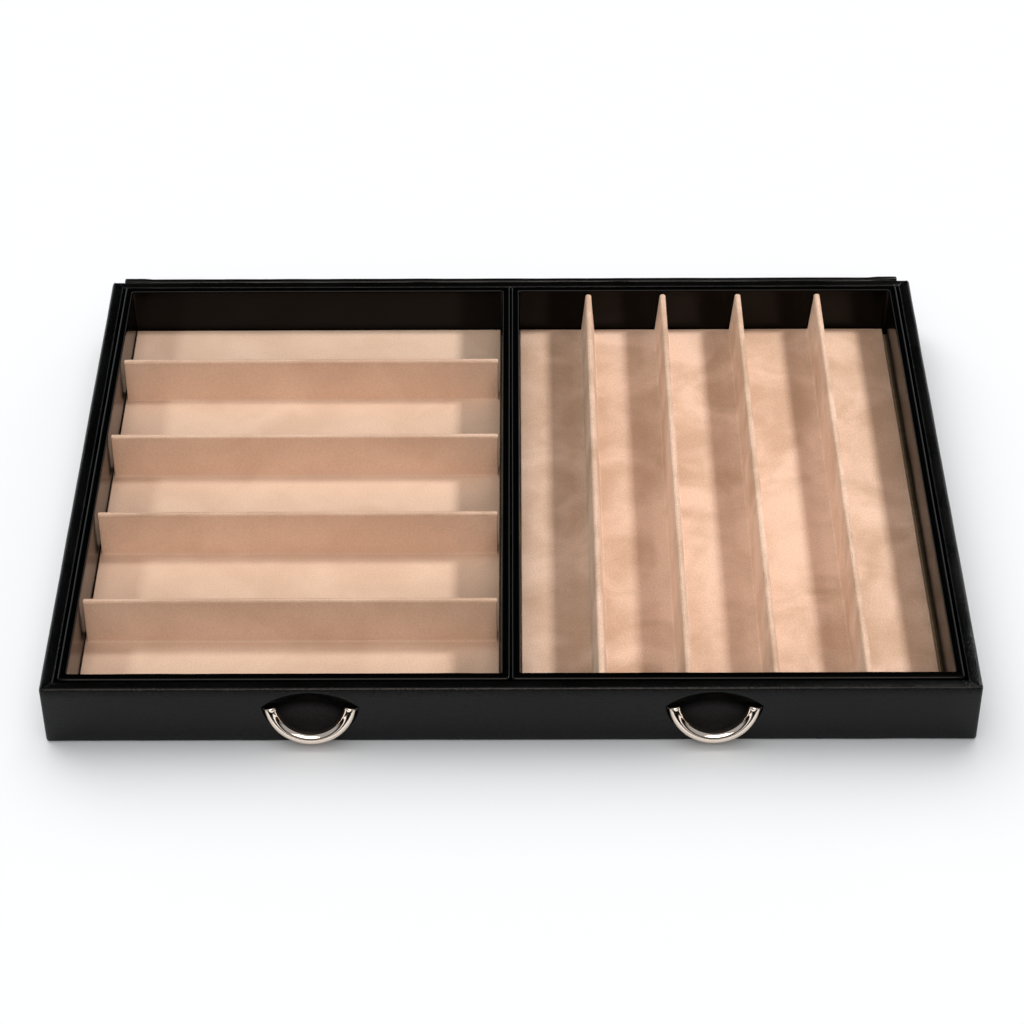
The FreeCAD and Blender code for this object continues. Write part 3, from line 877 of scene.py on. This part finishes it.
# a black flag low in front, seen only in reflections, draws the dark line along the metal
flag = {"near": 0.036, "far": 0.115, "halfWidth": 0.40, "low": 0.0002, "high": 0.0004,
        "colour": (0.004, 0.004, 0.004)}
# angles in degrees, and the focal length in pixels of a render as wide as this
shot = {"place": (0.0023, -0.8123, 0.7041), "pitch": 40.79, "yaw": -0.136, "roll": -0.249,
        "focal": 2772.7, "pixels": 1024, "sensor": 36.0}


def makeFloor():
    clearAll()
    bpy.ops.mesh.primitive_plane_add(size=studio["floorSize"])
    floor = bpy.context.active_object
    floor.name = "floor"
    floor.data.materials.append(makeMatte("floorPaper", studio["floorColour"]))
    return floor


def makeFlag():
    card = addBlock("flag", (-flag["halfWidth"], frontFace - flag["far"], flag["low"]),
                    (flag["halfWidth"], frontFace - flag["near"], flag["high"]))
    card.data.materials.append(makeMatte("flagCloth", flag["colour"]))
    for kind in ("camera", "diffuse", "transmission", "shadow", "volume_scatter"):
        setattr(card, "visible_" + kind, False)


def makeWorld():
    # a pale ceiling over dark walls, with a dark card behind for the black rims to mirror
    world = bpy.data.worlds.new("studioWorld")
    bpy.context.scene.world = world
    world.use_nodes = True
    tree = world.node_tree
    place = addNode(tree, "ShaderNodeTexCoord").outputs["Generated"]
    parts = addNode(tree, "ShaderNodeSeparateXYZ")
    tree.links.new(place, parts.inputs[0])
    ceiling = remap(tree, parts.outputs["Z"], *studio["ceiling"], 0.0, 1.0)
    facing = addNode(tree, "ShaderNodeVectorMath", {1: studio["cardTowards"]},
                     operation="DOT_PRODUCT")
    tree.links.new(place, facing.inputs[0])
    clear = remap(tree, facing.outputs["Value"], *studio["cardEdge"], 1.0, 0.0)
    mirrored = addNode(tree, "ShaderNodeCombineXYZ")
    tree.links.new(combineNumbers(tree, "ABSOLUTE", parts.outputs["X"], 0.0),
                   mirrored.inputs["X"])
    tree.links.new(parts.outputs["Y"], mirrored.inputs["Y"])
    tree.links.new(parts.outputs["Z"], mirrored.inputs["Z"])
    window = addNode(tree, "ShaderNodeVectorMath", {1: studio["windowTowards"]},
                     operation="DOT_PRODUCT")
    tree.links.new(mirrored.outputs[0], window.inputs[0])
    glow = remap(tree, window.outputs["Value"], *studio["windowEdge"], 0.0, studio["window"])
    shade = combineNumbers(tree, "ADD", combineNumbers(tree, "MULTIPLY", ceiling, clear), glow)
    dark = tuple(part * studio["darkShare"] for part in studio["world"])
    background = tree.nodes["Background"]
    mixed = mixColours(tree, shade, dark, studio["world"])
    tree.links.new(mixed, background.inputs["Color"])
    background.inputs["Strength"].default_value = studio["worldStrength"]


def makeLamps(floor):
    for name, lamp in lamps.items():
        place = Vector(lamp["place"])
        if lamp["size"]:
            light = bpy.data.lights.new(name, "AREA")
            light.size = lamp["size"]
        else:
            light = bpy.data.lights.new(name, "SUN")
            light.angle = math.radians(lamp["spread"])
        light.energy = lamp["power"]
        light.color = lamp["colour"]
        holder = bpy.data.objects.new(name, light)
        holder.location = place
        holder.rotation_euler = place.to_track_quat("Z", "Y").to_euler()
        bpy.context.scene.collection.objects.link(holder)
        # the paper lamps shine on the floor alone, and the others on all but the floor
        group = bpy.data.collections.new(name + "Lights")
        group.objects.link(floor)
        holder.light_linking.receiver_collection = group
        group.collection_objects[0].light_linking.link_state = (
            "INCLUDE" if lamp["lights"] == "floor" else "EXCLUDE")


def makeCamera():
    lens = bpy.data.cameras.new("camera")
    camera = bpy.data.objects.new("camera", lens)
    bpy.context.scene.collection.objects.link(camera)
    lens.sensor_width = shot["sensor"]
    lens.lens = shot["focal"] / shot["pixels"] * shot["sensor"]
    turn = (Matrix.Rotation(-math.radians(shot["yaw"]), 3, "Z")
            @ Matrix.Rotation(math.radians(90 - shot["pitch"]), 3, "X")
            @ Matrix.Rotation(math.radians(shot["roll"]), 3, "Z"))
    camera.rotation_euler = turn.to_euler()
    camera.location = shot["place"]
    bpy.context.scene.camera = camera


paper = makeFloor()
makeFlag()
makeWorld()
makeLamps(paper)
makeCamera()
bpy.context.scene.view_settings.view_transform = "Standard"
print("studio made")
